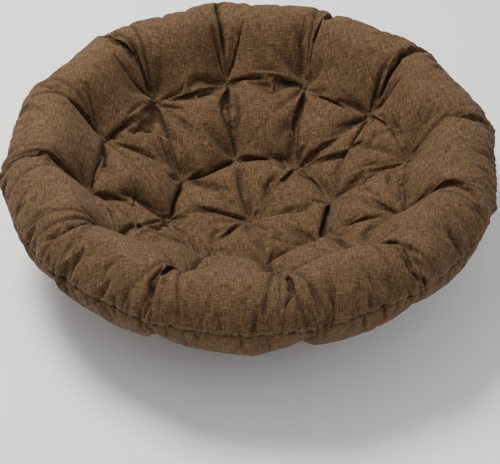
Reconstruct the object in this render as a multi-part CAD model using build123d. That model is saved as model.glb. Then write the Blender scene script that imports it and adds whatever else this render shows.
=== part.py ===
"""A round, overstuffed seat pad for a bowl chair, in the dished shape that it takes in use.

Two round fabric panels are sewn together round the rim and stuffed with loose fibre. Twenty-one
twines pull the pad in, each looped through a button on the face and a button on the back.
Millimetres, +Z up. The pad lies on its flattened underside, with the origin under its middle,
and the front of the chair is towards -Y.
"""

from build123d import *
from math import acos, asin, cos, degrees, pi, radians, sin, sqrt
import os

# Whole pad
overall_diameter = 1200.0
pad_loft = 158.0
face_bowl_radius = 585.0
middle_thickness = 115.0

# Cover
fabric_thickness = 1.2
seam_angle = 10.0
seam_allowance = 12.0
seam_thread_diameter = 0.7
seam_thread_depth = 0.7
topstitch_thread_diameter = 1.4
topstitch_offset = 9.0

# Tufts
inner_tuft_count = 8
inner_tuft_radius = 210.0
inner_tuft_start_angle = 100.3
inner_tuft_depth = 52.0
outer_tuft_count = 12
outer_tuft_radius = 398.0
outer_tuft_start_angle = 98.9
outer_tuft_depth = 45.0
middle_tuft_depth = 50.0
tuft_squeezed_thickness = 50.0
well_lip_radius = 45.0
middle_back_lip_radius = 14.0
well_lip_crease = 8.0

# Buttons and twine
button_diameter = 12.0
button_thickness = 3.6
button_base_diameter = 9.0
button_dish_diameter = 7.6
button_dish_depth = 1.0
button_edge_fullness = 0.7
button_hole_diameter = 2.0
button_hole_spacing = 4.4
button_turn = 37.0
twine_diameter = 1.4
twine_knot_diameter = 3.0

# Clearances
fill_clearance = 0.3
button_to_well_clearance = 2.0
needle_hole_clearance = 0.3
needle_hole_overrun = 10.0
thread_clearance = 0.05
twine_over_button_clearance = 0.2

# Worked out from the sizes above
rim_radius = pad_loft / 2
rim_ring_radius = overall_diameter / 2 - rim_radius
middle_bowl_radius = face_bowl_radius + rim_radius
back_bowl_radius = face_bowl_radius + pad_loft
bowl_centre_height = middle_thickness + face_bowl_radius
rim_polar_angle = asin(rim_ring_radius / middle_bowl_radius)
rim_height = bowl_centre_height - middle_bowl_radius * cos(rim_polar_angle)
well_seat_radius = button_diameter / 2 + button_to_well_clearance
needle_hole_radius = twine_diameter / 2 + needle_hole_clearance


def from_bowl_centre(distance, polar_angle):
    """A profile point at a distance from the bowl's centre, at an angle from straight down."""
    return (distance * sin(polar_angle), bowl_centre_height - distance * cos(polar_angle))


def from_rim_centre(distance, angle):
    """A profile point at a distance from the rim's own centre, at an angle above level."""
    return (rim_ring_radius + distance * cos(angle), rim_height + distance * sin(angle))


def turned(face):
    """The solid that a profile face in the XZ plane makes, turned round the pad's axis."""
    return revolve(face, axis=Axis.Z, revolution_arc=360)


def closed_face(*edges):
    """A face in the XZ plane bounded by edges that meet end to end."""
    return make_face(Curve() + [Plane.XZ * edge for edge in edges])


def pad_profile(inset):
    """Half of the pad's section, all of it moved in from the cover's outside by inset."""
    face_radius = face_bowl_radius + inset
    back_radius = back_bowl_radius - inset
    foot_angle = acos((bowl_centre_height - inset) / back_radius)
    face_middle = from_bowl_centre(face_radius, 0)
    face_half = from_bowl_centre(face_radius, rim_polar_angle / 2)
    face_end = from_bowl_centre(face_radius, rim_polar_angle)
    rim_end = from_rim_centre(rim_radius - inset, rim_polar_angle)
    back_start = from_bowl_centre(back_radius, rim_polar_angle)
    back_half = from_bowl_centre(back_radius, (rim_polar_angle + foot_angle) / 2)
    foot_edge = from_bowl_centre(back_radius, foot_angle)
    foot_middle = (0, inset)
    return closed_face(
        ThreePointArc(face_middle, face_half, face_end),
        ThreePointArc(face_end, rim_end, back_start),
        ThreePointArc(back_start, back_half, foot_edge),
        Line(foot_edge, foot_middle),
        Line(foot_middle, face_middle),
    )


def tufts():
    """Each tuft's name, its place on the pad and its depth in the face: one, then two rings."""
    rings = (
        ("inner", inner_tuft_count, inner_tuft_radius, inner_tuft_start_angle, inner_tuft_depth),
        ("outer", outer_tuft_count, outer_tuft_radius, outer_tuft_start_angle, outer_tuft_depth),
    )
    found = [("middle", 1, 0.0, 0.0, middle_tuft_depth)]
    for ring, count, radius, start_angle, depth in rings:
        polar_angle = degrees(asin(radius / (face_bowl_radius + depth)))
        for number in range(count):
            turn = start_angle - number * 360 / count
            found.append((ring, number + 1, polar_angle, turn, depth))
    return found


def tuft_place(polar_angle, turn, depth):
    """The tuft's own frame: its origin on the face fabric under the button, +Z out of the pad."""
    seat = face_bowl_radius + depth
    return (
        Pos(0, 0, bowl_centre_height) * Rot(0, 0, turn) * Rot(0, -polar_angle, 0) * Pos(0, 0, -seat)
    )


def well_profile(seat, lip_middle, lip_radius, inset, outwards):
    """Half of a well's section, from its flat seat up a round lip to open air, along Z."""
    wall = well_seat_radius + inset
    lip_radius_here = lip_radius - inset
    seat_here = seat - outwards * inset
    lip_low = (wall, lip_middle)
    corner = lip_radius_here * (1 - sqrt(0.5))
    lip_half = (wall + corner, lip_middle + outwards * lip_radius_here * sqrt(0.5))
    lip_high = (wall + lip_radius_here, lip_middle + outwards * lip_radius_here)
    mouth = lip_high[1] + outwards * lip_radius
    return closed_face(
        Line((0, seat_here), (wall, seat_here)),
        Line((wall, seat_here), lip_low),
        ThreePointArc(lip_low, lip_half, lip_high),
        Line(lip_high, (lip_high[0], mouth)),
        Line((lip_high[0], mouth), (0, mouth)),
        Line((0, mouth), (0, seat_here)),
    )


def face_well(depth, inset):
    """The well round a face button, in the tuft's frame."""
    reach = well_seat_radius + well_lip_radius
    ball = sqrt((face_bowl_radius + well_lip_radius - well_lip_crease) ** 2 - reach**2)
    lip_middle = face_bowl_radius + depth - ball
    return turned(well_profile(0, lip_middle, well_lip_radius, inset, 1))


def back_well(depth, inset):
    """The well round a back button, in the tuft's frame."""
    reach = well_seat_radius + well_lip_radius
    ball = sqrt((back_bowl_radius - well_lip_radius + well_lip_crease) ** 2 - reach**2)
    lip_middle = face_bowl_radius + depth - ball
    return turned(
        well_profile(-tuft_squeezed_thickness, lip_middle, well_lip_radius, inset, -1)
    )


def middle_back_well(depth, inset):
    """The well round the middle back button, which opens in the flattened underside."""
    floor = depth - middle_thickness
    lip_middle = floor + middle_back_lip_radius - well_lip_crease
    return turned(
        well_profile(-tuft_squeezed_thickness, lip_middle, middle_back_lip_radius, inset, -1)
    )


def side_profile(envelope_radius, rim_half_angle, foot):
    """Half of one panel's side of the section, from the cover's outside in to the pad's middle.

    foot holds the points where a flattened underside begins and ends, or nothing on the face.
    """
    seam = from_rim_centre(rim_radius, radians(seam_angle))
    rim_start = from_bowl_centre(envelope_radius, rim_polar_angle)
    rim_half = from_rim_centre(rim_radius, rim_half_angle)
    if foot:
        start, edge, edge_angle = foot
    else:
        start = edge = from_bowl_centre(envelope_radius, 0)
        edge_angle = 0
    half = from_bowl_centre(envelope_radius, (edge_angle + rim_polar_angle) / 2)
    middle = from_bowl_centre(middle_bowl_radius, 0)
    edges = [
        ThreePointArc(edge, half, rim_start),
        ThreePointArc(rim_start, rim_half, seam),
        Line(seam, from_rim_centre(0, 0)),
        ThreePointArc(
            from_rim_centre(0, 0), from_bowl_centre(middle_bowl_radius, rim_polar_angle / 2), middle
        ),
        Line(middle, start),
    ]
    if foot:
        edges.append(Line(start, edge))
    return closed_face(*edges)


def face_side():
    """The solid between the face's outside and the pad's middle, out to the seam."""
    face_end_angle = pi / 2 + rim_polar_angle
    return turned(side_profile(face_bowl_radius, (face_end_angle + radians(seam_angle)) / 2, None))


def back_side():
    """The solid between the back's outside and the pad's middle, out to the seam."""
    back_end_angle = rim_polar_angle - pi / 2
    edge_angle = acos(bowl_centre_height / back_bowl_radius)
    foot = ((0, 0), from_bowl_centre(back_bowl_radius, edge_angle), edge_angle)
    return turned(side_profile(back_bowl_radius, (back_end_angle + radians(seam_angle)) / 2, foot))


def face_wells(inset):
    """Every well in the face, with its wall moved into the pad by inset."""
    return [
        tuft_place(polar_angle, turn, depth) * face_well(depth, inset)
        for ring, number, polar_angle, turn, depth in tufts()
    ]


def back_wells(inset):
    """Every well in the back, with its wall moved into the pad by inset."""
    wells = {"middle": middle_back_well, "inner": back_well, "outer": back_well}
    return [
        tuft_place(polar_angle, turn, depth) * wells[ring](depth, inset)
        for ring, number, polar_angle, turn, depth in tufts()
    ]


def less_each(body, tools):
    """A body with tools cut from it one after another."""
    for tool in tools:
        body -= tool
    return body


def seam_strip(below, above, margin):
    """The ring that the two seam allowances fill inside the pad, from below to above the seam."""
    angle = radians(seam_angle)
    inner = rim_radius - fabric_thickness - seam_allowance - margin
    outer = rim_radius - fabric_thickness / 2
    rise = (-sin(angle), cos(angle))

    def corner(distance, height):
        x, z = from_rim_centre(distance, angle)
        return (x + rise[0] * height, z + rise[1] * height)

    corners = [corner(inner, below), corner(outer, below), corner(outer, above)]
    corners.append(corner(inner, above))
    lines = [Line(corners[i], corners[(i + 1) % 4]) for i in range(4)]
    return turned(closed_face(*lines))


def ring_of_thread(distance, angle, diameter):
    """A ring of thread round the rim, at a distance from the rim's own centre."""
    x, z = from_rim_centre(distance, radians(angle))
    return Pos(0, 0, z) * Torus(x, diameter / 2)


def in_pairs(shape):
    """Two copies of a shape, one on each side of the tuft's middle, where the button's holes are."""
    return [Pos(side * button_hole_spacing / 2, 0, 0) * shape for side in (-1, 1)]


def needle_holes(radius):
    """The pair of holes that a twine passes through, as two rods along the tuft's axis."""
    length = tuft_squeezed_thickness + 2 * needle_hole_overrun
    rod = Cylinder(radius, length, align=(Align.CENTER, Align.CENTER, Align.MAX))
    return in_pairs(Pos(0, 0, needle_hole_overrun) * rod)


def button():
    """A two-hole button: a rounded edge and a shallow dish round the holes. It sits on Z = 0."""
    base = button_base_diameter / 2
    edge = button_diameter / 2
    dish = button_dish_diameter / 2
    shoulder = (edge + dish) / 2
    half = button_thickness / 2
    low = button_thickness - button_dish_depth
    full = button_edge_fullness
    outline = closed_face(
        Line((0, 0), (base, 0)),
        ThreePointArc((base, 0), (base + (edge - base) * full, half * (1 - full)), (edge, half)),
        ThreePointArc(
            (edge, half),
            (shoulder + (edge - shoulder) * full, half * (1 + full)),
            (shoulder, button_thickness),
        ),
        Line((shoulder, button_thickness), (dish, button_thickness)),
        Line((dish, button_thickness), (dish - button_dish_depth, low)),
        Line((dish - button_dish_depth, low), (0, low)),
        Line((0, low), (0, 0)),
    )
    hole = Cylinder(
        button_hole_diameter / 2,
        button_thickness,
        align=(Align.CENTER, Align.CENTER, Align.MIN),
    )
    return turned(outline) - in_pairs(hole)


def back_button_place():
    """The back button, the other way up against the back fabric, in the tuft's frame."""
    return Pos(0, 0, -tuft_squeezed_thickness) * Rot(180, 0, 0)


def tuft_twine():
    """The closed loop of twine through both buttons, knotted at the back."""
    bend = button_hole_spacing / 2
    radius = twine_diameter / 2
    top = button_thickness - button_dish_depth + radius + twine_over_button_clearance
    bottom = -tuft_squeezed_thickness - top
    run = Cylinder(radius, top - bottom, align=(Align.CENTER, Align.CENTER, Align.MIN))
    loop = in_pairs(Pos(0, 0, bottom) * run)
    section = Plane.XY * Pos(bend, 0, 0) * Circle(radius)
    arch = revolve(section, axis=Axis.Y, revolution_arc=180)
    over = Pos(0, 0, top) * Rot(180, 0, 0) * arch
    under = Pos(0, 0, bottom) * arch
    knot = Pos(0, 0, bottom - bend) * Sphere(twine_knot_diameter / 2)
    return loop[0] + loop[1] + over + under + knot


def write(node, shape):
    """One STEP file for one sub-part."""
    export_step(shape, f"parts/{node}.step")


def group(shapes):
    """Separate solids that share one file."""
    return Compound(children=list(shapes))


def main():
    os.makedirs("parts", exist_ok=True)
    seam_radius = rim_radius - fabric_thickness - seam_thread_depth
    topstitch_distance = rim_radius + topstitch_thread_diameter / 2 + thread_clearance
    topstitch_angle = seam_angle + degrees(topstitch_offset / rim_radius)
    seam_groove = ring_of_thread(
        seam_radius, seam_angle, seam_thread_diameter + 2 * thread_clearance
    )
    stuffing = turned(pad_profile(fabric_thickness))
    face_panel = less_each(face_side(), face_wells(0))
    face_panel -= less_each(stuffing, face_wells(fabric_thickness))
    face_panel = face_panel + seam_strip(0, fabric_thickness, 0) - seam_groove
    back_panel = less_each(back_side(), back_wells(0))
    back_panel -= less_each(stuffing, back_wells(fabric_thickness))
    back_panel = back_panel + seam_strip(-fabric_thickness, 0, 0) - seam_groove
    groove = fabric_thickness + fill_clearance
    fibre_fill = less_each(turned(pad_profile(groove)), face_wells(groove) + back_wells(groove))
    fibre_fill -= seam_strip(-groove, groove, fill_clearance)

    one_button = button()
    one_twine = tuft_twine()
    back_buttons = {}
    for ring, number, polar_angle, turn, depth in tufts():
        place = tuft_place(polar_angle, turn, depth) * Rot(0, 0, number * button_turn)
        holes = [place * hole for hole in needle_holes(needle_hole_radius)]
        face_panel -= holes
        back_panel -= holes
        fibre_fill -= holes
        write(f"face_button_{ring}_{number:02d}", place * one_button)
        write(f"tuft_twine_{ring}_{number:02d}", place * one_twine)
        back_buttons.setdefault(ring, []).append(place * back_button_place() * one_button)

    write("face_panel", face_panel)
    write("back_panel", back_panel)
    write("fibre_fill", fibre_fill)
    write("seam_thread", ring_of_thread(seam_radius, seam_angle, seam_thread_diameter))
    write(
        "edge_topstitch",
        ring_of_thread(topstitch_distance, topstitch_angle, topstitch_thread_diameter),
    )
    for ring, shapes in back_buttons.items():
        write(f"back_buttons_{ring}", group(shapes))


main()
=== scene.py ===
"""The looks of a round, deeply tufted seat pad for a bowl chair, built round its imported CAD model.

The two panels of the cover are one closed cloth, blown up from inside and pulled in at each tuft by
Blender's Cloth. The stitches, the fill and the seam's thread follow the shape that the cloth takes.
Metres, in the CAD model's own frame: +Z up, and -Y to the front of the chair.
"""

import math

import bpy
import numpy as np
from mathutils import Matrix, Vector


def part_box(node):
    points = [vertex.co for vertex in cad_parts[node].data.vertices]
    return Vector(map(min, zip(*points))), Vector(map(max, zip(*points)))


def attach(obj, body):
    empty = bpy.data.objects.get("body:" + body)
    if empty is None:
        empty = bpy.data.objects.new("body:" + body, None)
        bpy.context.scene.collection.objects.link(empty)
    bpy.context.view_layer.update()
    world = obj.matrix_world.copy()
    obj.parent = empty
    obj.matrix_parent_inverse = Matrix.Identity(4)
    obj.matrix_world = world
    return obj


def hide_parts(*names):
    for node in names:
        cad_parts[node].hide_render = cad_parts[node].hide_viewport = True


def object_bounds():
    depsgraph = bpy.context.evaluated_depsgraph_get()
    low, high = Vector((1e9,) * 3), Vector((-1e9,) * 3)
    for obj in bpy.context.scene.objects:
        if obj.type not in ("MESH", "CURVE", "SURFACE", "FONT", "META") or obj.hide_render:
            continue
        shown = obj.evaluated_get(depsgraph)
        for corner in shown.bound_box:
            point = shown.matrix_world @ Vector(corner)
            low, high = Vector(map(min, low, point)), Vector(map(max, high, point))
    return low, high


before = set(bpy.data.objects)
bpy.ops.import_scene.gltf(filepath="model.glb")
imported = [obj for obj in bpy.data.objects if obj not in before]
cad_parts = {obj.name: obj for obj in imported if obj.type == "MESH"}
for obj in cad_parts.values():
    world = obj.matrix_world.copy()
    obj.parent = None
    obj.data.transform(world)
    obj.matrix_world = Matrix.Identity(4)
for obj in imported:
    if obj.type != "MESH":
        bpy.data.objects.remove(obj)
cad_low, cad_high = [list(corner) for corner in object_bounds()]

# The pad's section
PAD_LOFT = 0.158
SWELL_ROOM = 0.020          # the cloth starts this far inside the CAD shape and swells to fill it
FLOOR_SOFTNESS = 0.004
RIM_FULLNESS = 1.012
FRONT_SAG = 0.024           # the rim's front has been sat on, and lies lower than its back

# The cloth
FINE_RINGS, QUICK_RINGS = 80, 44
FRAMES = 60
PULLED_IN_BY = 24           # the frame by which the twines are tight
PRESSURE = 150.0
PAD_CLOTH_MASS = 770.0      # shared out over the cloth's points, in Cloth's own units
STIFFNESS = 40.0
BENDING = 0.2
LOOSE_IN_THE_MIDDLE = 0.15  # how much more cloth there is than the start shape needs
LOOSE_AT_THE_RIM = 0.22
SEAT_CATCH = 0.014          # cloth this near a tuft's axis is caught under its button
SEAT_GATHER = 0.5

# Cover details
CREASE_SOFTENING = 0.25     # 1 rounds the cloth's creases as plain Loop subdivision does
CREASE_DEEPENING = 0.6
DEEPEST_CREASE = 0.008
UNSHADED_CREASE_DEPTH = 0.001        # a crease shallower than this gets no painted shade
FULL_SHADE_CREASE_DEPTH = 0.0055         # and one this deep gets the full painted shade, standing in for the shadow in its hollow
FABRIC_THICKNESS = 0.0012
LINING_INSET = 0.0024
FILL_INSET = 0.005
SEAM_DEPTH = 0.0028
EDGE_GATHERS = (            # folds round the edge, how far they reach, and how deep they are
    (67, 0.080, 0.0024),
    (101, 0.060, 0.0022),
    (157, 0.035, 0.0022),
    (241, 0.022, 0.0015),
)
NEIGHBOUR_REACH = 0.27      # tufts closer than this, on the cut cloth, share a crease
STRONG_DEPTH = 0.0078
STRONG_CREASES = {          # the deepest creases from tuft to tuft, and how far they bow aside
    ("inner_01", "outer_01"): 0.004,
    ("inner_02", "outer_02"): -0.004,
    ("inner_08", "outer_12"): 0.006,
    ("inner_02", "middle_01"): 0.005,
    ("inner_06", "middle_01"): -0.004,
    ("inner_07", "outer_10"): 0.022,
    ("inner_01", "inner_08"): 0.006,
    ("inner_07", "inner_08"): 0.008,
    ("inner_03", "inner_04"): -0.006,
    ("inner_03", "outer_03"): 0.005,
    ("inner_03", "outer_04"): -0.012,
    ("inner_05", "outer_07"): 0.004,
}
RIM_PLEATS = (1, 2, 2, 3, 3, 3, 4, 4, 5, 4, 3, 3)   # from each outer tuft to the edge
EDGE_PLEATS = 120           # short ones that run in from the edge
STITCH_LENGTH = 0.0052
STITCH_GAP = 0.0024
STITCH_RADIUS = 0.0007
SEAM_THREAD_RADIUS = 0.00035

# The weave
THREAD_PITCH = 0.00125
BROWN_DARK = (0.021, 0.0095, 0.0036)
BROWN = (0.075, 0.0395, 0.0165)
BROWN_LIGHT = (0.170, 0.101, 0.051)

# Camera and light
CAMERA_ELEVATION = math.radians(41.2)
CAMERA_DISTANCE = 3.97
LENS_MM = 113.4
SHIFT = (-0.0008, -0.021)

rng = np.random.default_rng(21)


# ---------------------------------------------------------------- the frame's own sizes

def node_points(node):
    """A CAD node's vertices, as rows of x, y, z."""
    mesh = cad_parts[node].data
    points = np.empty(len(mesh.vertices) * 3)
    mesh.vertices.foreach_get("co", points)
    return points.reshape(-1, 3)


def read_tufts():
    """Each tuft's axis, pointing out of the face, and the two places where the cloth is held."""
    found = []
    for node in sorted(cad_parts):
        if not node.startswith("tuft_twine_"):
            continue
        key = node[len("tuft_twine_"):]
        twine = node_points(node)
        middle = (twine.min(0) + twine.max(0)) / 2
        axis = np.linalg.svd(twine - twine.mean(0), full_matrices=False)[2][0]
        axis *= np.sign(axis[2])
        button = node_points("face_button_" + key)
        centre = (button.min(0) + button.max(0)) / 2
        axis = axis if np.linalg.norm(np.cross(centre - middle, axis)) < 0.004 else centre - middle
        axis = axis / np.linalg.norm(axis)
        face_seat = centre + axis * ((button - centre) @ axis).min()
        backs = node_points("back_buttons_" + key.split("_")[0])
        away = backs - face_seat
        off_axis = np.linalg.norm(away - np.outer(away @ axis, axis), axis=1)
        back_seat = face_seat + axis * (away @ axis)[off_axis < 0.01].max()
        found.append({"key": key, "axis": axis, "face": face_seat, "back": back_seat})
    return found


def read_section(tufts):
    """The pad's section: its rim's centre, and its bowl's centre and radius."""
    loft = PAD_LOFT / 2
    rim_radius = cad_high[0] - loft
    rim_height = cad_high[2] - loft
    heights = []
    for tuft in tufts:
        level = np.hypot(*tuft["axis"][:2])
        if level > 0.1:
            out = np.hypot(*tuft["face"][:2])
            heights.append(tuft["face"][2] + out * tuft["axis"][2] / level)
    bowl_height = float(np.mean(heights))
    bowl_radius = math.hypot(rim_radius, bowl_height - rim_height) - loft
    low, high = [np.array(corner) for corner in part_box("seam_thread")]
    seam = math.atan2((low[2] + high[2]) / 2 - rim_height, high[0] - rim_radius)
    return {
        "loft": loft,
        "rim_radius": rim_radius,
        "rim_height": rim_height,
        "bowl_height": bowl_height,
        "bowl_radius": bowl_radius,
        "seam": seam,
        "polar": math.asin(rim_radius / (bowl_radius + loft)),
    }


TUFTS = read_tufts()
SECTION = read_section(TUFTS)


# ---------------------------------------------------------------- the cloth's start shape

def face_curve(part, inset):
    """Radius and height on the face, from its middle (0) over the rim to the seam (1)."""
    s = SECTION
    bowl = s["bowl_radius"] + inset
    tube = s["loft"] - inset
    top = math.pi / 2 + s["polar"]
    on_bowl = bowl * s["polar"]
    length = on_bowl + tube * (top - s["seam"])
    along = part * length
    polar = along / bowl
    turn = top - (along - on_bowl) / tube
    flat = along < on_bowl
    radius = np.where(flat, bowl * np.sin(polar), s["rim_radius"] + tube * np.cos(turn))
    height = np.where(
        flat, s["bowl_height"] - bowl * np.cos(polar), s["rim_height"] + tube * np.sin(turn)
    )
    return radius, height, length


def back_curve(part, inset):
    """Radius and height on the back, from the middle of its flat foot (0) to the seam (1)."""
    s = SECTION
    bowl = s["bowl_radius"] + 2 * s["loft"] - inset
    tube = s["loft"] - inset
    foot = math.acos((s["bowl_height"] - inset) / bowl)
    low = s["polar"] - math.pi / 2
    foot_length = bowl * math.sin(foot)
    bowl_length = bowl * (s["polar"] - foot)
    length = foot_length + bowl_length + tube * (s["seam"] - low)
    along = part * length
    polar = foot + (along - foot_length) / bowl
    turn = low + (along - foot_length - bowl_length) / tube
    on_foot = along < foot_length
    on_bowl = along < foot_length + bowl_length
    radius = np.where(on_bowl, bowl * np.sin(polar), s["rim_radius"] + tube * np.cos(turn))
    height = np.where(
        on_bowl, s["bowl_height"] - bowl * np.cos(polar), s["rim_height"] + tube * np.sin(turn)
    )
    return np.where(on_foot, along, radius), np.where(on_foot, inset, height), length


def disc(rings):
    """A disc of even triangles: its points as ring fractions and angles, and its triangles."""
    first = [0] + [1 + 3 * ring * (ring - 1) for ring in range(1, rings + 1)]
    part, angle, triangles = [0.0], [0.0], []
    for ring in range(1, rings + 1):
        count = 6 * ring
        part += [ring / rings] * count
        angle += [2 * math.pi * place / count for place in range(count)]
        inner_count = max(1, count - 6)
        for place in range(count):
            side, step = divmod(place, ring)
            inside = side * (ring - 1) + step
            here = first[ring] + place
            beside = first[ring] + (place + 1) % count
            below = first[ring - 1] + inside % inner_count
            triangles.append((here, beside, below))
            if step < ring - 1:
                triangles.append((below, beside, first[ring - 1] + (inside + 1) % inner_count))
    return np.array(part), np.array(angle), np.array(triangles)


def start_cloth(rings):
    """The closed cloth: face disc and back disc, which share the points of the seam."""
    part, angle, triangles = disc(rings)
    count = len(part)
    own = count - 6 * rings
    faces = {}
    for name, curve in (("face", face_curve), ("back", back_curve)):
        radius, height, length = curve(part, SWELL_ROOM)
        faces[name] = np.stack([radius * np.cos(angle), radius * np.sin(angle), height], 1)
        ahead = np.stack([np.cos(angle), np.sin(angle)], 1)
        faces[name + "_flat"] = (part * length)[:, None] * ahead
    to_back = np.concatenate([np.arange(own) + count, np.arange(own, count)])
    both = np.concatenate([triangles, to_back[triangles][:, ::-1]])
    points = np.concatenate([faces["face"], faces["back"][:own]])
    flat_face = np.concatenate([faces["face_flat"], np.zeros((own, 2))])
    flat_back = np.zeros((len(points), 2))
    flat_back[to_back] = faces["back_flat"]
    parts = np.concatenate([part, part[:own]])
    seam = np.arange(own, count)
    topstitch = np.arange(own - 6 * (rings - 1), own)
    return {
        "points": points,
        "triangles": both,
        "flat": np.concatenate([flat_face, flat_back], 1),
        "part": parts,
        "on_back": np.arange(len(points)) >= count,
        "seam": seam,
        "topstitch": topstitch,
    }


def held_points(cloth):
    """Where the twines hold the cloth: each caught point and its place under a button."""
    places = {}
    points = cloth["points"]
    for tuft in TUFTS:
        for side, on_side in (("face", ~cloth["on_back"]), ("back", cloth["on_back"])):
            away = points - tuft[side]
            off = away - np.outer(away @ tuft["axis"], tuft["axis"])
            near = np.linalg.norm(off, axis=1)
            caught = np.flatnonzero(on_side & (near < SEAT_CATCH) & (points[:, 2] < 0.5))
            for point in caught:
                places[int(point)] = tuft[side] + off[point] * SEAT_GATHER
    return places


def tuft_places(cloth):
    """Where each tuft goes through the flat cloth of the face and of the back."""
    places = {"face": {}, "back": {}}
    points = cloth["points"]
    for tuft in TUFTS:
        for side, on_side, columns in (
            ("face", ~cloth["on_back"], slice(0, 2)),
            ("back", cloth["on_back"], slice(2, 4)),
        ):
            away = points - tuft[side]
            off = np.linalg.norm(away - np.outer(away @ tuft["axis"], tuft["axis"]), axis=1)
            near = np.flatnonzero(on_side & (off < SEAT_CATCH))
            places[side][tuft["key"]] = cloth["flat"][near, columns].mean(0)
    return places


# ---------------------------------------------------------------- cloth simulation

def link_mesh(name, points, triangles):
    """A new object from points and triangles, linked to the scene."""
    mesh = bpy.data.meshes.new(name)
    mesh.from_pydata(points.tolist(), [], triangles.tolist())
    mesh.update()
    piece = bpy.data.objects.new(name, mesh)
    bpy.context.scene.collection.objects.link(piece)
    return piece


def blow_up(cloth):
    """Runs Cloth on the start shape and returns where its points end up."""
    piece = link_mesh("swelling_cloth", cloth["points"], cloth["triangles"])
    places = held_points(cloth)
    held = piece.vertex_groups.new(name="held")
    held.add(list(places), 1.0, "REPLACE")
    loose = piece.vertex_groups.new(name="loose")
    for point, amount in enumerate(np.clip((cloth["part"] - 0.45) / 0.4, 0, 1)):
        loose.add([point], float(amount), "REPLACE")
    piece.shape_key_add(name="Basis")
    pulled = piece.shape_key_add(name="pulled")
    target = cloth["points"].copy()
    for point, place in places.items():
        target[point] = place
    pulled.data.foreach_set("co", target.ravel())
    pulled.value = 0
    pulled.keyframe_insert("value", frame=1)
    pulled.value = 1
    pulled.keyframe_insert("value", frame=PULLED_IN_BY)
    modifier = piece.modifiers.new("cloth", "CLOTH")
    modifier.collision_settings.use_collision = False
    modifier.point_cache.frame_start = 1
    modifier.point_cache.frame_end = FRAMES
    settings = modifier.settings
    settings.quality = 5
    settings.mass = PAD_CLOTH_MASS / len(cloth["points"])
    settings.use_pressure = True
    settings.uniform_pressure_force = PRESSURE
    settings.effector_weights.gravity = 0
    settings.vertex_group_mass = "held"
    settings.pin_stiffness = 50
    settings.vertex_group_shrink = "loose"
    settings.shrink_min = -LOOSE_IN_THE_MIDDLE
    settings.shrink_max = -LOOSE_AT_THE_RIM
    settings.tension_stiffness = STIFFNESS
    settings.compression_stiffness = STIFFNESS
    settings.shear_stiffness = STIFFNESS / 3
    settings.bending_stiffness = BENDING
    settings.tension_damping = 5
    settings.compression_damping = 5
    settings.shear_damping = 5
    settings.bending_damping = 0.5
    settings.air_damping = 1
    scene = bpy.context.scene
    scene.frame_start = 1
    scene.frame_end = FRAMES
    for number in range(1, FRAMES + 1):
        scene.frame_set(number)
    mesh = piece.evaluated_get(bpy.context.evaluated_depsgraph_get()).data
    points = np.empty(len(mesh.vertices) * 3)
    mesh.vertices.foreach_get("co", points)
    scene.frame_set(1)
    keys = piece.data.shape_keys
    bpy.data.objects.remove(piece)
    if keys and keys.animation_data:
        bpy.data.actions.remove(keys.animation_data.action)
    return points.reshape(-1, 3)


def smooth_step(value):
    value = np.clip(value, 0, 1)
    return value * value * (3 - 2 * value)


def settle(points):
    """Brings the rim to its height and width, and flattens the underside on the floor."""
    points = points.copy()
    out = np.hypot(points[:, 0], points[:, 1])
    near_rim = smooth_step((out - 0.40) / 0.20)
    shrink = 1 - RIM_FULLNESS * cad_high[0] / np.percentile(out, 99.8)
    points[:, :2] *= 1 - shrink * near_rim[:, None]
    polar = np.degrees(np.arctan2(out, SECTION["bowl_height"] - points[:, 2]))
    to_rear = 0.5 + 0.5 * points[:, 1] / cad_high[1]
    sag = FRONT_SAG * (1 - smooth_step(to_rear))
    lift = cad_high[2] - np.percentile(points[:, 2], 99.8) - sag
    points[:, 2] += smooth_step((polar - 41) / 11) * lift
    low = points[:, 2] < 0.05
    soft = FLOOR_SOFTNESS
    points[low, 2] = soft * np.logaddexp(0, points[low, 2] / soft)
    points[:, 2] -= points[:, 2].min()
    return points


# ---------------------------------------------------------------- mesh work

def edges_of(triangles):
    """Each edge once, and the number of the edge on each side of each triangle."""
    sides = np.concatenate([triangles[:, [0, 1]], triangles[:, [1, 2]], triangles[:, [2, 0]]])
    edges, index = np.unique(np.sort(sides, 1), axis=0, return_inverse=True)
    return edges, index.reshape(3, -1).T


def loop_subdivide(points, flat, triangles):
    """One step of Loop subdivision on a closed mesh; flat is carried along in straight lines."""
    edges, index = edges_of(triangles)
    count = len(points)
    opposite = np.zeros((len(edges), 3))
    for side, corner in ((0, 2), (1, 0), (2, 1)):
        np.add.at(opposite, index[:, side], points[triangles[:, corner]])
    middle = 0.375 * (points[edges[:, 0]] + points[edges[:, 1]]) + 0.125 * opposite
    around = np.zeros_like(points)
    np.add.at(around, edges[:, 0], points[edges[:, 1]])
    np.add.at(around, edges[:, 1], points[edges[:, 0]])
    valence = np.bincount(edges.ravel(), minlength=count)[:, None]
    beta = 0.375 / valence * CREASE_SOFTENING
    kept = (1 - valence * beta) * points + beta * around
    a, b, c = triangles.T
    ab, bc, ca = (index + count).T
    split = np.stack([a, ab, ca, ab, b, bc, ca, bc, c, ab, bc, ca], 1).reshape(-1, 3)
    middle_flat = (flat[edges[:, 0]] + flat[edges[:, 1]]) / 2
    return np.concatenate([kept, middle]), np.concatenate([flat, middle_flat]), split, edges


def normals_of(points, triangles):
    """Unit normals at the points of a mesh."""
    a, b, c = (points[triangles[:, corner]] for corner in range(3))
    cross = np.cross(b - a, c - a)
    total = np.zeros_like(points)
    for corner in range(3):
        np.add.at(total, triangles[:, corner], cross)
    return total / np.maximum(np.linalg.norm(total, axis=1, keepdims=True), 1e-12)


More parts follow.
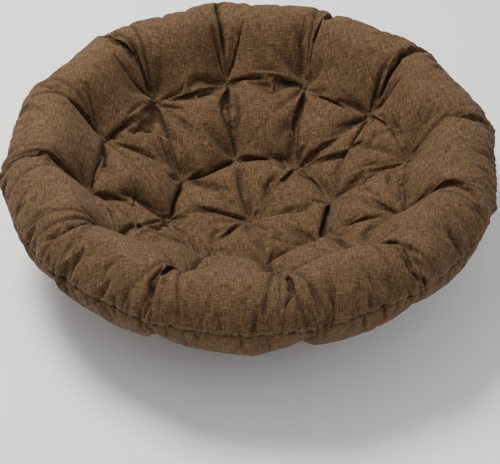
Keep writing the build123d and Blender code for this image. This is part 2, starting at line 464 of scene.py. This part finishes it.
def smoothed(values, edges, passes):
    """Values at the points of a mesh, evened out with those beside them."""
    count = len(values)
    valence = np.bincount(edges.ravel(), minlength=count)
    for _ in range(passes):
        columns = []
        for column in values.T:
            around = np.bincount(edges[:, 0], column[edges[:, 1]], count)
            around += np.bincount(edges[:, 1], column[edges[:, 0]], count)
            columns.append((column + around / valence) / 2)
        values = np.stack(columns, 1)
    return values


def valleys(points, triangles, passes):
    """How far each point lies below the smoothed cloth round it; none where it stands proud."""
    smooth = smoothed(points, edges_of(triangles)[0], passes)
    depth = ((smooth - points) * normals_of(points, triangles)).sum(1)
    return np.clip(depth, 0, DEEPEST_CREASE)


def surface_within(points, triangles, inset, passes, spread):
    """A plainer surface that stays inside the cloth, even under its creases."""
    edges = edges_of(triangles)[0]
    smooth = smoothed(points, edges, passes)
    normals = normals_of(smooth, triangles)
    level = ((points - smooth) * normals).sum(1)
    for _ in range(spread):
        lower = level.copy()
        np.minimum.at(lower, edges[:, 0], level[edges[:, 1]])
        np.minimum.at(lower, edges[:, 1], level[edges[:, 0]])
        level = lower
    return smooth + normals * (level - inset)[:, None]


def to_nearest_button(points):
    """How far each point is from the nearest place where a button holds the cloth."""
    nearest = np.full(len(points), 1.0)
    for tuft in TUFTS:
        for side in ("face", "back"):
            nearest = np.minimum(nearest, np.linalg.norm(points - tuft[side], axis=1))
    return nearest


def deepen_creases(points, triangles):
    """Presses the cloth's own creases deeper, but for the places where the buttons hold it."""
    free = smooth_step((to_nearest_button(points) - 0.012) / 0.03)
    free = free * smooth_step((points[:, 2] - 0.004) / 0.02)
    depth = valleys(points, triangles, 10) * free
    return points - normals_of(points, triangles) * (CREASE_DEEPENING * depth)[:, None]


def edge_ring(ring, edges, count):
    """A ring of points with the new points between them, in order, after one subdivision."""
    where = {tuple(edge): number for number, edge in enumerate(edges.tolist())}
    full = []
    for here, there in zip(ring, np.roll(ring, -1)):
        full += [int(here), count + where[tuple(sorted((int(here), int(there))))]]
    return np.array(full)


def waves(angle, counts, phases, weights):
    """A sum of sine waves round a circle."""
    return sum(
        weight * np.sin(count * angle + phase)
        for count, phase, weight in zip(counts, phases, weights)
    )


def groove(flat, start, end, depth, width, arch=0.0, tail=0.0):
    """How deep a crease from start to end presses each point of the flat cloth.

    With a tail it runs out towards its end. Without, it is held by a tuft at both.
    """
    run = end - start
    length = np.linalg.norm(run)
    ahead = run / length
    offset = flat - start
    along = offset @ ahead / length
    aside = offset @ np.array([-ahead[1], ahead[0]])
    inside = np.clip(along, 0, 1)
    aside = aside - arch * np.sin(math.pi * inside)
    middle = np.sin(math.pi * inside)
    narrow = width * (0.75 + 0.5 * (inside if tail else middle))
    fall = 1 - tail * smooth_step(inside) if tail else 1 - 0.35 * middle
    beyond = np.maximum(np.abs(along - 0.5) - 0.5, 0) * length
    return depth * fall * np.exp(-np.abs(aside / narrow) ** 1.5 - (beyond / 0.006) ** 2)


def crease_cover(points, normals, flat, on_back, tuft_places, seam_radius):
    """Creases the cover as the tufts and the sewn edge draw it up, and tells how deep each is."""
    pressed = np.zeros(len(points))
    face = np.flatnonzero(~on_back)
    cut = flat[face, :2]
    places = tuft_places["face"]
    inner = [places[f"inner_{number:02d}"] for number in range(1, 9)]
    outer = [places[f"outer_{number:02d}"] for number in range(1, 13)]
    pairs = []
    names = sorted(places)
    for place, first in enumerate(names):
        for second in names[place + 1:]:
            if np.linalg.norm(places[first] - places[second]) < NEIGHBOUR_REACH:
                pairs.append((first, second))
    depth = np.zeros(len(face))
    for first, second in pairs:
        strong = STRONG_CREASES.get((first, second))
        deep = STRONG_DEPTH if strong is not None else rng.uniform(0.2, 0.6) * STRONG_DEPTH
        arch = strong if strong is not None else rng.uniform(-0.012, 0.012)
        width = rng.uniform(0.004, 0.005)
        depth = np.maximum(depth, groove(cut, places[first], places[second], deep, width, arch))
    for number, start in enumerate(outer, 1):
        azimuth = math.atan2(start[1], start[0])
        count = RIM_PLEATS[number - 1]
        for pleat in range(count):
            spread = (pleat - (count - 1) / 2) * 0.085 + rng.uniform(-0.02, 0.02)
            reach = seam_radius * rng.uniform(0.93, 1.0)
            end = reach * np.array([math.cos(azimuth + spread), math.sin(azimuth + spread)])
            deep = STRONG_DEPTH * rng.uniform(0.55, 1.0)
            arch = rng.uniform(-0.012, 0.012)
            depth = np.maximum(depth, groove(cut, start, end, deep, 0.0055, arch, 0.45))
    for start in [places["middle_01"], *inner, *outer]:
        depth = np.maximum(depth, star_creases(cut, start))
    pressed[face] = np.maximum(depth, edge_pleats(cut, seam_radius))
    back = np.flatnonzero(on_back)
    depth = edge_pleats(flat[back, 2:], np.linalg.norm(flat[back, 2:], axis=1).max())
    for start in tuft_places["back"].values():
        depth = np.maximum(depth, star_creases(flat[back, 2:], start))
    pressed[back] = depth
    clear = smooth_step((to_nearest_button(points) - 0.006) / 0.02)
    pressed *= clear * smooth_step((points[:, 2] - 0.003) / 0.02)
    return points - normals * pressed[:, None], pressed


def edge_pleats(cut, seam_radius):
    """The pleats that the sewn edge gathers: from the seam they run out towards the middle."""
    depth = np.zeros(len(cut))
    near = np.flatnonzero(np.linalg.norm(cut, axis=1) > seam_radius - 0.2)
    for _ in range(EDGE_PLEATS):
        turn = rng.uniform(0, 2 * math.pi)
        start = seam_radius * np.array([math.cos(turn), math.sin(turn)])
        turn += rng.uniform(-0.45, 0.45)
        end = start - rng.uniform(0.04, 0.16) * np.array([math.cos(turn), math.sin(turn)])
        deep, bow = rng.uniform(0.0022, 0.0052), rng.uniform(-0.01, 0.01)
        shape = groove(cut[near], start, end, deep, 0.0045, bow, 0.85)
        depth[near] = np.maximum(depth[near], shape)
    return depth


def star_creases(cut, start):
    """The short creases that run out from one tuft in all directions."""
    depth = np.zeros(len(cut))
    close = np.flatnonzero(np.linalg.norm(cut - start, axis=1) < 0.13)
    count = int(rng.integers(6, 9))
    first = rng.uniform(0, 2 * math.pi)
    for ray in range(count):
        turn = first + 2 * math.pi * ray / count + rng.uniform(-0.25, 0.25)
        end = start + rng.uniform(0.04, 0.095) * np.array([math.cos(turn), math.sin(turn)])
        deep = rng.uniform(0.0018, 0.0036)
        shape = groove(cut[close], start, end, deep, 0.0042, rng.uniform(-0.005, 0.005), 1.0)
        depth[close] = np.maximum(depth[close], shape)
    return depth


def sew_edge(points, normals, seam_points):
    """Draws the cloth in along the seam, and gathers it on both sides of the stitches."""
    ring = points[seam_points]
    ring_turn = np.arctan2(ring[:, 1], ring[:, 0])
    order = np.argsort(ring_turn)
    turn = np.arctan2(points[:, 1], points[:, 0])
    near_rim = np.flatnonzero(np.hypot(points[:, 0], points[:, 1]) > 0.5)
    lift = np.zeros(len(points))
    around = turn[near_rim]
    by_turn, ring = ring_turn[order], ring[order]
    seam_at = np.stack(
        [np.interp(around, by_turn, ring[:, axis], period=2 * math.pi) for axis in range(3)], 1
    )
    distance = np.linalg.norm(points[near_rim] - seam_at, axis=1)
    pull = np.exp(-((distance / 0.0045) ** 2))
    gather = np.zeros(len(near_rim))
    for count, reach, depth in EDGE_GATHERS:
        lean = rng.uniform(-2, 2) * distance / reach
        fold = np.abs(np.sin(count * around / 2 + lean + rng.uniform(0, math.pi))) - 0.64
        places = waves(around, rng.integers(2, 11, 3), rng.uniform(0, 6, 3), (0.5, 0.45, 0.4))
        fade = np.exp(-((distance / reach) ** 2)) * smooth_step(0.5 + 0.8 * places)
        gather += depth * fold * fade
    lift[near_rim] = gather * (1 - pull) - SEAM_DEPTH * pull
    return points + normals * lift[:, None]


def compact(points, triangles):
    """Only the points that the triangles use, renumbered, and their old numbers."""
    used, index = np.unique(triangles.ravel(), return_inverse=True)
    return points[used], index.reshape(-1, 3), used


def panel_piece(name, fine, coarse, on_back):
    """One panel of the cover: the fine outside, a plain inside, and the raw edge between them."""
    half = len(fine["triangles"]) // 2
    outer = fine["triangles"][half:] if on_back else fine["triangles"][:half]
    half = len(coarse["triangles"]) // 2
    inner = coarse["triangles"][half:] if on_back else coarse["triangles"][:half]
    flat_columns = slice(2, 4) if on_back else slice(0, 2)
    outer_points, outer_triangles, outer_used = compact(fine["points"], outer)
    inner_points, inner_triangles, inner_used = compact(coarse["inside"], inner)
    count = len(outer_points)
    fine_number = {int(old): new for new, old in enumerate(outer_used)}
    coarse_number = {int(old): new + count for new, old in enumerate(inner_used)}
    edge = [fine_number[int(point)] for point in fine["seam"]]
    lining = [coarse_number[int(point)] for point in coarse["seam"]]
    strip = []
    for place, here in enumerate(lining):
        there = lining[(place + 1) % len(lining)]
        first, between = edge[2 * place], edge[2 * place + 1]
        last = edge[(2 * place + 2) % len(edge)]
        strip += [(first, here, between), (between, here, there), (between, there, last)]
    strip = np.array(strip)
    if on_back:
        strip = strip[:, ::-1]
    triangles = np.concatenate([outer_triangles, inner_triangles[:, ::-1] + count, strip])
    piece = link_mesh(name, np.concatenate([outer_points, inner_points]), triangles)
    flat = np.concatenate(
        [fine["flat"][outer_used][:, flat_columns], coarse["flat"][inner_used][:, flat_columns]]
    )
    layer = piece.data.uv_layers.new(name="cut_cloth")
    corners = np.empty(len(piece.data.loops), dtype=np.int64)
    piece.data.loops.foreach_get("vertex_index", corners)
    layer.data.foreach_set("uv", flat[corners].ravel())
    # painted shade: how much the colour is darkened, from 0 on open cloth to 1 in the deepest
    # creases, standing in for the shadow there
    fold = piece.data.attributes.new("painted_crease_shade", "FLOAT", "POINT")
    depth = (fine["fold"][outer_used] - UNSHADED_CREASE_DEPTH) / (FULL_SHADE_CREASE_DEPTH - UNSHADED_CREASE_DEPTH)
    # the inside face gets the full painted shade, so any of it that shows reads as shadow
    depth = np.concatenate([depth, np.ones(len(inner_used))])
    fold.data.foreach_set("value", np.clip(depth, 0, 1))
    shade_smooth(piece)
    return piece


def shade_smooth(piece):
    piece.data.polygons.foreach_set("use_smooth", [True] * len(piece.data.polygons))
    piece.data.update()


def tube(path, normals, radius, closed, sides=6, taper=False):
    """Points and triangles of a tube along a path; with taper, its ends dip and close."""
    count = len(path)
    if closed:
        ahead = np.roll(path, -1, 0) - np.roll(path, 1, 0)
    else:
        ahead = np.gradient(path, axis=0)
    ahead /= np.linalg.norm(ahead, axis=1, keepdims=True)
    across = np.cross(ahead, normals)
    across /= np.linalg.norm(across, axis=1, keepdims=True)
    up = np.cross(across, ahead)
    size = np.full(count, radius)
    if taper:
        size[[0, -1]] *= 0.45
    turns = np.arange(sides) * 2 * math.pi / sides
    rings = path[:, None] + size[:, None, None] * (
        np.cos(turns)[None, :, None] * across[:, None] + np.sin(turns)[None, :, None] * up[:, None]
    )
    points = rings.reshape(-1, 3)
    triangles = []
    for step in range(count if closed else count - 1):
        here, there = step * sides, (step + 1) % count * sides
        for side in range(sides):
            beside = (side + 1) % sides
            triangles.append((here + side, there + beside, here + beside))
            triangles.append((here + side, there + side, there + beside))
    if not closed:
        last = (count - 1) * sides
        for side in range(1, sides - 1):
            triangles += [(0, side, side + 1), (last, last + side + 1, last + side)]
    return points, np.array(triangles)


def merged(name, shapes):
    """One object from several sets of points and triangles."""
    points, triangles, count = [], [], 0
    for shape_points, shape_triangles in shapes:
        points.append(shape_points)
        triangles.append(shape_triangles + count)
        count += len(shape_points)
    piece = link_mesh(name, np.concatenate(points), np.concatenate(triangles))
    shade_smooth(piece)
    return piece


def evenly(path, normals, spacing):
    """The path resampled at even steps, a whole number of them, and its normals."""
    closed = np.concatenate([path, path[:1]])
    length = np.concatenate([[0], np.cumsum(np.linalg.norm(np.diff(closed, axis=0), axis=1))])
    count = int(round(length[-1] / spacing))
    at = np.arange(count) * length[-1] / count
    both = np.concatenate([closed, np.concatenate([normals, normals[:1]])], 1)
    out = np.stack([np.interp(at, length, both[:, column]) for column in range(6)], 1)
    return out[:, :3], out[:, 3:] / np.linalg.norm(out[:, 3:], axis=1, keepdims=True)


def stitches(path, normals):
    """The edge topstitch: one short bent thread for each stitch."""
    step = 0.0004
    fine, fine_normals = evenly(path, normals, step)
    pitch = STITCH_LENGTH + STITCH_GAP
    count = int(len(fine) * step / pitch)
    rise = np.array([-0.9, 0.35, 0.75, 0.75, 0.35, -0.9]) * STITCH_RADIUS
    shapes = []
    for number in range(count):
        start = number / count * len(fine)
        at = start + np.linspace(0, STITCH_LENGTH / step, len(rise)) + rng.normal(0, 0.35)
        at = np.round(at).astype(int) % len(fine)
        up = fine_normals[at]
        shapes.append(tube(fine[at] + up * rise[:, None], up, STITCH_RADIUS, False, 6, True))
    return merged("edge_topstitch_stitches", shapes)


# ---------------------------------------------------------------- materials

class Nodes:
    """A small helper that adds shader nodes to one material and links them."""

    def __init__(self, name):
        self.material = bpy.data.materials.new(name)
        self.material.use_nodes = True
        self.tree = self.material.node_tree
        self.shader = self.tree.nodes["Principled BSDF"]

    def add(self, kind, **settings):
        node = self.tree.nodes.new(kind)
        for key, value in settings.items():
            setattr(node, key, value)
        return node

    def feed(self, socket, source):
        if hasattr(source, "default_value") or hasattr(source, "links"):
            self.tree.links.new(source, socket)
        else:
            socket.default_value = source

    def maths(self, operation, first, second=0.0, third=0.0):
        node = self.add("ShaderNodeMath", operation=operation)
        for socket, source in zip(node.inputs, (first, second, third)):
            self.feed(socket, source)
        return node.outputs[0]

    def noise(self, vector, scale, detail=2.0, roughness=0.5):
        node = self.add("ShaderNodeTexNoise")
        self.feed(node.inputs["Vector"], vector)
        node.inputs["Scale"].default_value = scale
        node.inputs["Detail"].default_value = detail
        node.inputs["Roughness"].default_value = roughness
        return node.outputs["Fac"]

    def stretched(self, vector, scale, offset=(0, 0, 0)):
        node = self.add("ShaderNodeMapping")
        self.feed(node.inputs["Vector"], vector)
        node.inputs["Scale"].default_value = scale
        node.inputs["Location"].default_value = offset
        return node.outputs[0]

    def ramp(self, factor, stops):
        node = self.add("ShaderNodeValToRGB")
        self.feed(node.inputs[0], factor)
        elements = node.color_ramp.elements
        while len(elements) < len(stops):
            elements.new(0.5)
        for element, (position, colour) in zip(elements, stops):
            element.position = position
            element.color = (*colour, 1)
        return node.outputs[0]

    def mix(self, factor, first, second, blend="MIX"):
        node = self.add("ShaderNodeMix", data_type="RGBA", blend_type=blend)
        self.feed(node.inputs[0], factor)
        self.feed(node.inputs[6], first)
        self.feed(node.inputs[7], second)
        return node.outputs[2]

    def bump(self, height, distance, strength=1.0, normal=None):
        node = self.add("ShaderNodeBump")
        node.inputs["Strength"].default_value = strength
        node.inputs["Distance"].default_value = distance
        self.feed(node.inputs["Height"], height)
        if normal is not None:
            self.tree.links.new(normal, node.inputs["Normal"])
        return node.outputs[0]


def woven_fabric():
    """Linen-look plain weave: mixed brown yarns, uneven in thickness, in two directions."""
    n = Nodes("brown_melange_weave")
    cut = n.add("ShaderNodeUVMap", uv_map="cut_cloth").outputs[0]
    warp = n.noise(n.stretched(cut, (560, 58, 1)), 1.0, 2.0, 0.6)
    weft = n.noise(n.stretched(cut, (58, 560, 1), (3.1, 7.7, 0)), 1.0, 2.0, 0.6)
    long_warp = n.noise(n.stretched(cut, (330, 24, 1), (1.3, 0.2, 0)), 1.0, 1.0, 0.5)
    long_weft = n.noise(n.stretched(cut, (24, 330, 1), (5.0, 2.0, 0)), 1.0, 1.0, 0.5)
    yarns = n.maths("ADD", n.maths("MULTIPLY", warp, 0.5), n.maths("MULTIPLY", weft, 0.5))
    slubs = n.maths(
        "ADD", n.maths("MULTIPLY", long_warp, 0.5), n.maths("MULTIPLY", long_weft, 0.5)
    )
    both = n.maths("ADD", n.maths("MULTIPLY", yarns, 0.7), n.maths("MULTIPLY", slubs, 0.3))
    colour = n.ramp(both, [(0.37, BROWN_DARK), (0.485, BROWN), (0.62, BROWN_LIGHT)])
    blotches = n.noise(cut, 9.0, 3.0, 0.55)
    shade = n.ramp(blotches, [(0.3, (0.90, 0.90, 0.90)), (0.7, (1.07, 1.06, 1.05))])
    colour = n.mix(1.0, colour, shade, "MULTIPLY")

    turns = 2 * math.pi / (2 * THREAD_PITCH)
    split = n.add("ShaderNodeSeparateXYZ")
    n.feed(split.inputs[0], cut)
    across = n.maths("SINE", n.maths("MULTIPLY", split.outputs[0], turns))
    along = n.maths("SINE", n.maths("MULTIPLY", split.outputs[1], turns))
    crossing = n.maths("MULTIPLY", across, along)
    weave = n.maths("ADD", n.maths("MULTIPLY", crossing, 0.5), 0.5)
    lighter = n.mix(1.0, colour, (1.5, 1.45, 1.4, 1), "MULTIPLY")
    colour = n.mix(n.maths("MULTIPLY", weave, 0.16), colour, lighter)
    # painted shade: the colour is darkened in the cloth's creases and over its inside face, standing
    # in for the shadow that falls in them
    fold = n.add("ShaderNodeAttribute", attribute_name="painted_crease_shade").outputs["Fac"]
    crease_shade_colour = n.mix(1.0, colour, (0.30, 0.26, 0.22, 1), "MULTIPLY")
    colour = n.mix(fold, colour, crease_shade_colour)
    n.feed(n.shader.inputs["Base Color"], colour)
    n.feed(n.shader.inputs["Roughness"], n.maths("MULTIPLY_ADD", both, -0.18, 1.0))
    threads = n.bump(weave, 0.00022, 0.8)
    uneven = n.bump(both, 0.0006, 0.6, threads)
    n.feed(n.shader.inputs["Normal"], uneven)
    n.shader.inputs["Specular IOR Level"].default_value = 0.25
    n.shader.inputs["Sheen Weight"].default_value = 0.06
    n.shader.inputs["Sheen Roughness"].default_value = 0.5
    n.shader.inputs["Sheen Tint"].default_value = (0.75, 0.62, 0.5, 1)
    return n.material


def thread(name, dark, light, pitch):
    """Twisted thread: fine slanting strands, lighter where they catch the light."""
    n = Nodes(name)
    place = n.add("ShaderNodeTexCoord").outputs["Object"]
    strands = n.add("ShaderNodeTexWave", wave_type="BANDS", bands_direction="DIAGONAL")
    n.feed(strands.inputs["Vector"], place)
    strands.inputs["Scale"].default_value = 1 / pitch
    strands.inputs["Distortion"].default_value = 1.5
    strands.inputs["Detail"].default_value = 2
    fuzz = n.noise(place, 900.0, 3.0, 0.7)
    amount = n.maths("MULTIPLY_ADD", strands.outputs["Fac"], 0.6, n.maths("MULTIPLY", fuzz, 0.4))
    n.feed(n.shader.inputs["Base Color"], n.ramp(amount, [(0.2, dark), (0.8, light)]))
    n.feed(n.shader.inputs["Roughness"], n.maths("MULTIPLY_ADD", fuzz, 0.3, 0.6))
    n.feed(n.shader.inputs["Normal"], n.bump(amount, 0.0002, 0.7))
    return n.material


def button_plastic():
    """Moulded brown button plastic, faintly cloudy, worn lighter and duller in patches."""
    n = Nodes("brown_button_plastic")
    place = n.add("ShaderNodeTexCoord").outputs["Object"]
    cloud = n.noise(place, 260.0, 4.0, 0.6)
    grain = n.noise(place, 2600.0, 2.0, 0.5)
    stops = [(0.3, (0.034, 0.022, 0.014)), (0.55, (0.062, 0.042, 0.028)), (0.8, (0.10, 0.072, 0.050))]
    n.feed(n.shader.inputs["Base Color"], n.ramp(cloud, stops))
    n.feed(n.shader.inputs["Roughness"], n.maths("MULTIPLY_ADD", cloud, 0.3, 0.40))
    n.feed(n.shader.inputs["Normal"], n.bump(grain, 0.00004, 0.5))
    n.shader.inputs["Specular IOR Level"].default_value = 0.22
    return n.material


def fibre_wadding():
    """Loose white polyester fibre, seen only if the cover is opened."""
    n = Nodes("white_fibre_fill")
    place = n.add("ShaderNodeTexCoord").outputs["Object"]
    clumps = n.noise(place, 55.0, 6.0, 0.65)
    hairs = n.noise(n.stretched(place, (1, 1, 6)), 420.0, 3.0, 0.7)
    stops = [(0.3, (0.62, 0.61, 0.58)), (0.7, (0.86, 0.86, 0.84))]
    n.feed(n.shader.inputs["Base Color"], n.ramp(clumps, stops))
    n.feed(n.shader.inputs["Roughness"], n.maths("MULTIPLY_ADD", hairs, 0.1, 0.88))
    n.feed(n.shader.inputs["Normal"], n.bump(n.maths("ADD", clumps, hairs), 0.003, 0.8))
    return n.material


def floor_paint():
    """The studio's pale floor."""
    n = Nodes("studio_floor")
    place = n.add("ShaderNodeTexCoord").outputs["Object"]
    mottle = n.noise(place, 3.0, 2.0, 0.5)
    stops = [(0.2, (0.88, 0.88, 0.88)), (0.8, (0.91, 0.91, 0.91))]
    n.feed(n.shader.inputs["Base Color"], n.ramp(mottle, stops))
    n.shader.inputs["Roughness"].default_value = 0.7
    return n.material


def dress(piece, material):
    """Gives all of a piece one material."""
    piece.data.materials.clear()
    piece.data.materials.append(material)


def dress_node(name, material):
    """A better material on a CAD node, whose shape stays."""
    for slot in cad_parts[name].material_slots:
        slot.material = material


# ---------------------------------------------------------------- stage

def aim(thing, target):
    thing.rotation_euler = (Vector(target) - thing.location).to_track_quat("-Z", "Y").to_euler()


def add_camera():
    """The camera looks at the middle tuft, from the front and above."""
    middle = next(tuft for tuft in TUFTS if tuft["key"].startswith("middle"))
    data = bpy.data.cameras.new("camera")
    data.sensor_width = 36
    data.lens = LENS_MM
    data.shift_x, data.shift_y = SHIFT
    camera = bpy.data.objects.new("camera", data)
    bpy.context.scene.collection.objects.link(camera)
    back = Vector((0, -math.cos(CAMERA_ELEVATION), math.sin(CAMERA_ELEVATION)))
    camera.location = Vector(middle["face"]) + back * CAMERA_DISTANCE
    aim(camera, middle["face"])
    bpy.context.scene.camera = camera


def add_area_light(name, location, size, power, colour):
    data = bpy.data.lights.new(name, "AREA")
    data.energy = power
    data.size = size
    data.color = colour
    light = bpy.data.objects.new(name, data)
    bpy.context.scene.collection.objects.link(light)
    light.location = location
    aim(light, (0, 0, 0.2))


def add_stage():
    """A pale floor, a soft key light from above, and a pale surround."""
    corners = [(-9, -9, 0), (9, -9, 0), (9, 9, 0), (-9, 9, 0)]
    mesh = bpy.data.meshes.new("studio_floor")
    mesh.from_pydata(corners, [], [(0, 1, 2, 3)])
    floor = bpy.data.objects.new("studio_floor", mesh)
    bpy.context.scene.collection.objects.link(floor)
    dress(floor, floor_paint())
    add_area_light("key", (-1.3, 0.9, 3.2), 1.3, 165, (1, 0.985, 0.96))
    add_area_light("fill", (2.4, -2.2, 2.2), 2.5, 26, (0.97, 0.985, 1))
    world = bpy.data.worlds.new("surround")
    bpy.context.scene.world = world
    world.use_nodes = True
    surround = world.node_tree.nodes["Background"]
    surround.inputs[0].default_value = (1, 1, 1, 1)
    surround.inputs[1].default_value = 0.62


# ---------------------------------------------------------------- the object

def belongs(piece, slot, *nodes):
    """A piece that stands for CAD nodes rides on the one body, and those nodes are hidden. The slot
    is not used.
    """
    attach(piece, "root")
    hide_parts(*nodes)


def make_pad():
    """The cover's two panels, the fill in them and the thread that closes and finishes the edge."""
    cloth = start_cloth(FINE_RINGS)
    triangles = cloth["triangles"]
    shape = deepen_creases(settle(blow_up(cloth)), triangles)
    count = len(shape)
    points, flat, fine_triangles, edges = loop_subdivide(shape, cloth["flat"], triangles)
    seam = edge_ring(cloth["seam"], edges, count)
    stitch_line = edge_ring(cloth["topstitch"], edges, count)
    on_back = np.concatenate([cloth["on_back"], cloth["on_back"][edges].any(1)])
    places = tuft_places(cloth)
    seam_radius = np.linalg.norm(flat[seam[0], :2])
    points, pressed = crease_cover(
        points, normals_of(points, fine_triangles), flat, on_back, places, seam_radius
    )
    points = sew_edge(points, normals_of(points, fine_triangles), seam)
    normals = normals_of(points, fine_triangles)
    coarse_points = points[:count]
    fine = {
        "points": points,
        "triangles": fine_triangles,
        "flat": flat,
        "seam": seam,
        # crease depth, which sets how much painted shade the cloth gets there
        "fold": np.maximum(valleys(points, fine_triangles, 12), pressed),
    }
    coarse = {
        "inside": surface_within(coarse_points, triangles, LINING_INSET, 3, 1),
        "triangles": triangles,
        "flat": cloth["flat"],
        "seam": cloth["seam"],
    }
    fabric = woven_fabric()
    face = panel_piece("face_panel_cloth", fine, coarse, False)
    back = panel_piece("back_panel_cloth", fine, coarse, True)
    for piece, node in ((face, "face_panel"), (back, "back_panel")):
        dress(piece, fabric)
        belongs(piece, "fabric", node)

    filling = surface_within(coarse_points, triangles, FILL_INSET, 10, 4)
    fill = link_mesh("fibre_filling", filling, triangles)
    shade_smooth(fill)
    dress(fill, fibre_wadding())
    belongs(fill, "fill", "fibre_fill")

    line = stitches(points[stitch_line], normals[stitch_line])
    dress(line, thread("topstitch_thread", (0.10, 0.058, 0.028), (0.30, 0.19, 0.10), 0.0006))
    belongs(line, "topstitch_thread", "edge_topstitch")

    inside = points[seam] - normals[seam] * (FABRIC_THICKNESS + SEAM_THREAD_RADIUS)
    closing = merged("closing_seam_thread", [tube(inside, normals[seam], SEAM_THREAD_RADIUS, True)])
    dress(closing, thread("seam_thread", (0.05, 0.028, 0.014), (0.14, 0.08, 0.04), 0.0004))
    belongs(closing, "seam_thread", "seam_thread")


def dress_hardware():
    """The buttons and twines keep their CAD shapes and get their real materials."""
    plastic = button_plastic()
    twine = thread("waxed_tuft_twine", (0.07, 0.042, 0.022), (0.24, 0.16, 0.09), 0.0007)
    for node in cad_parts:
        if node.startswith(("face_button_", "back_buttons_")):
            dress_node(node, plastic)
        elif node.startswith("tuft_twine_"):
            dress_node(node, twine)


add_camera()
add_stage()
dress_hardware()
make_pad()
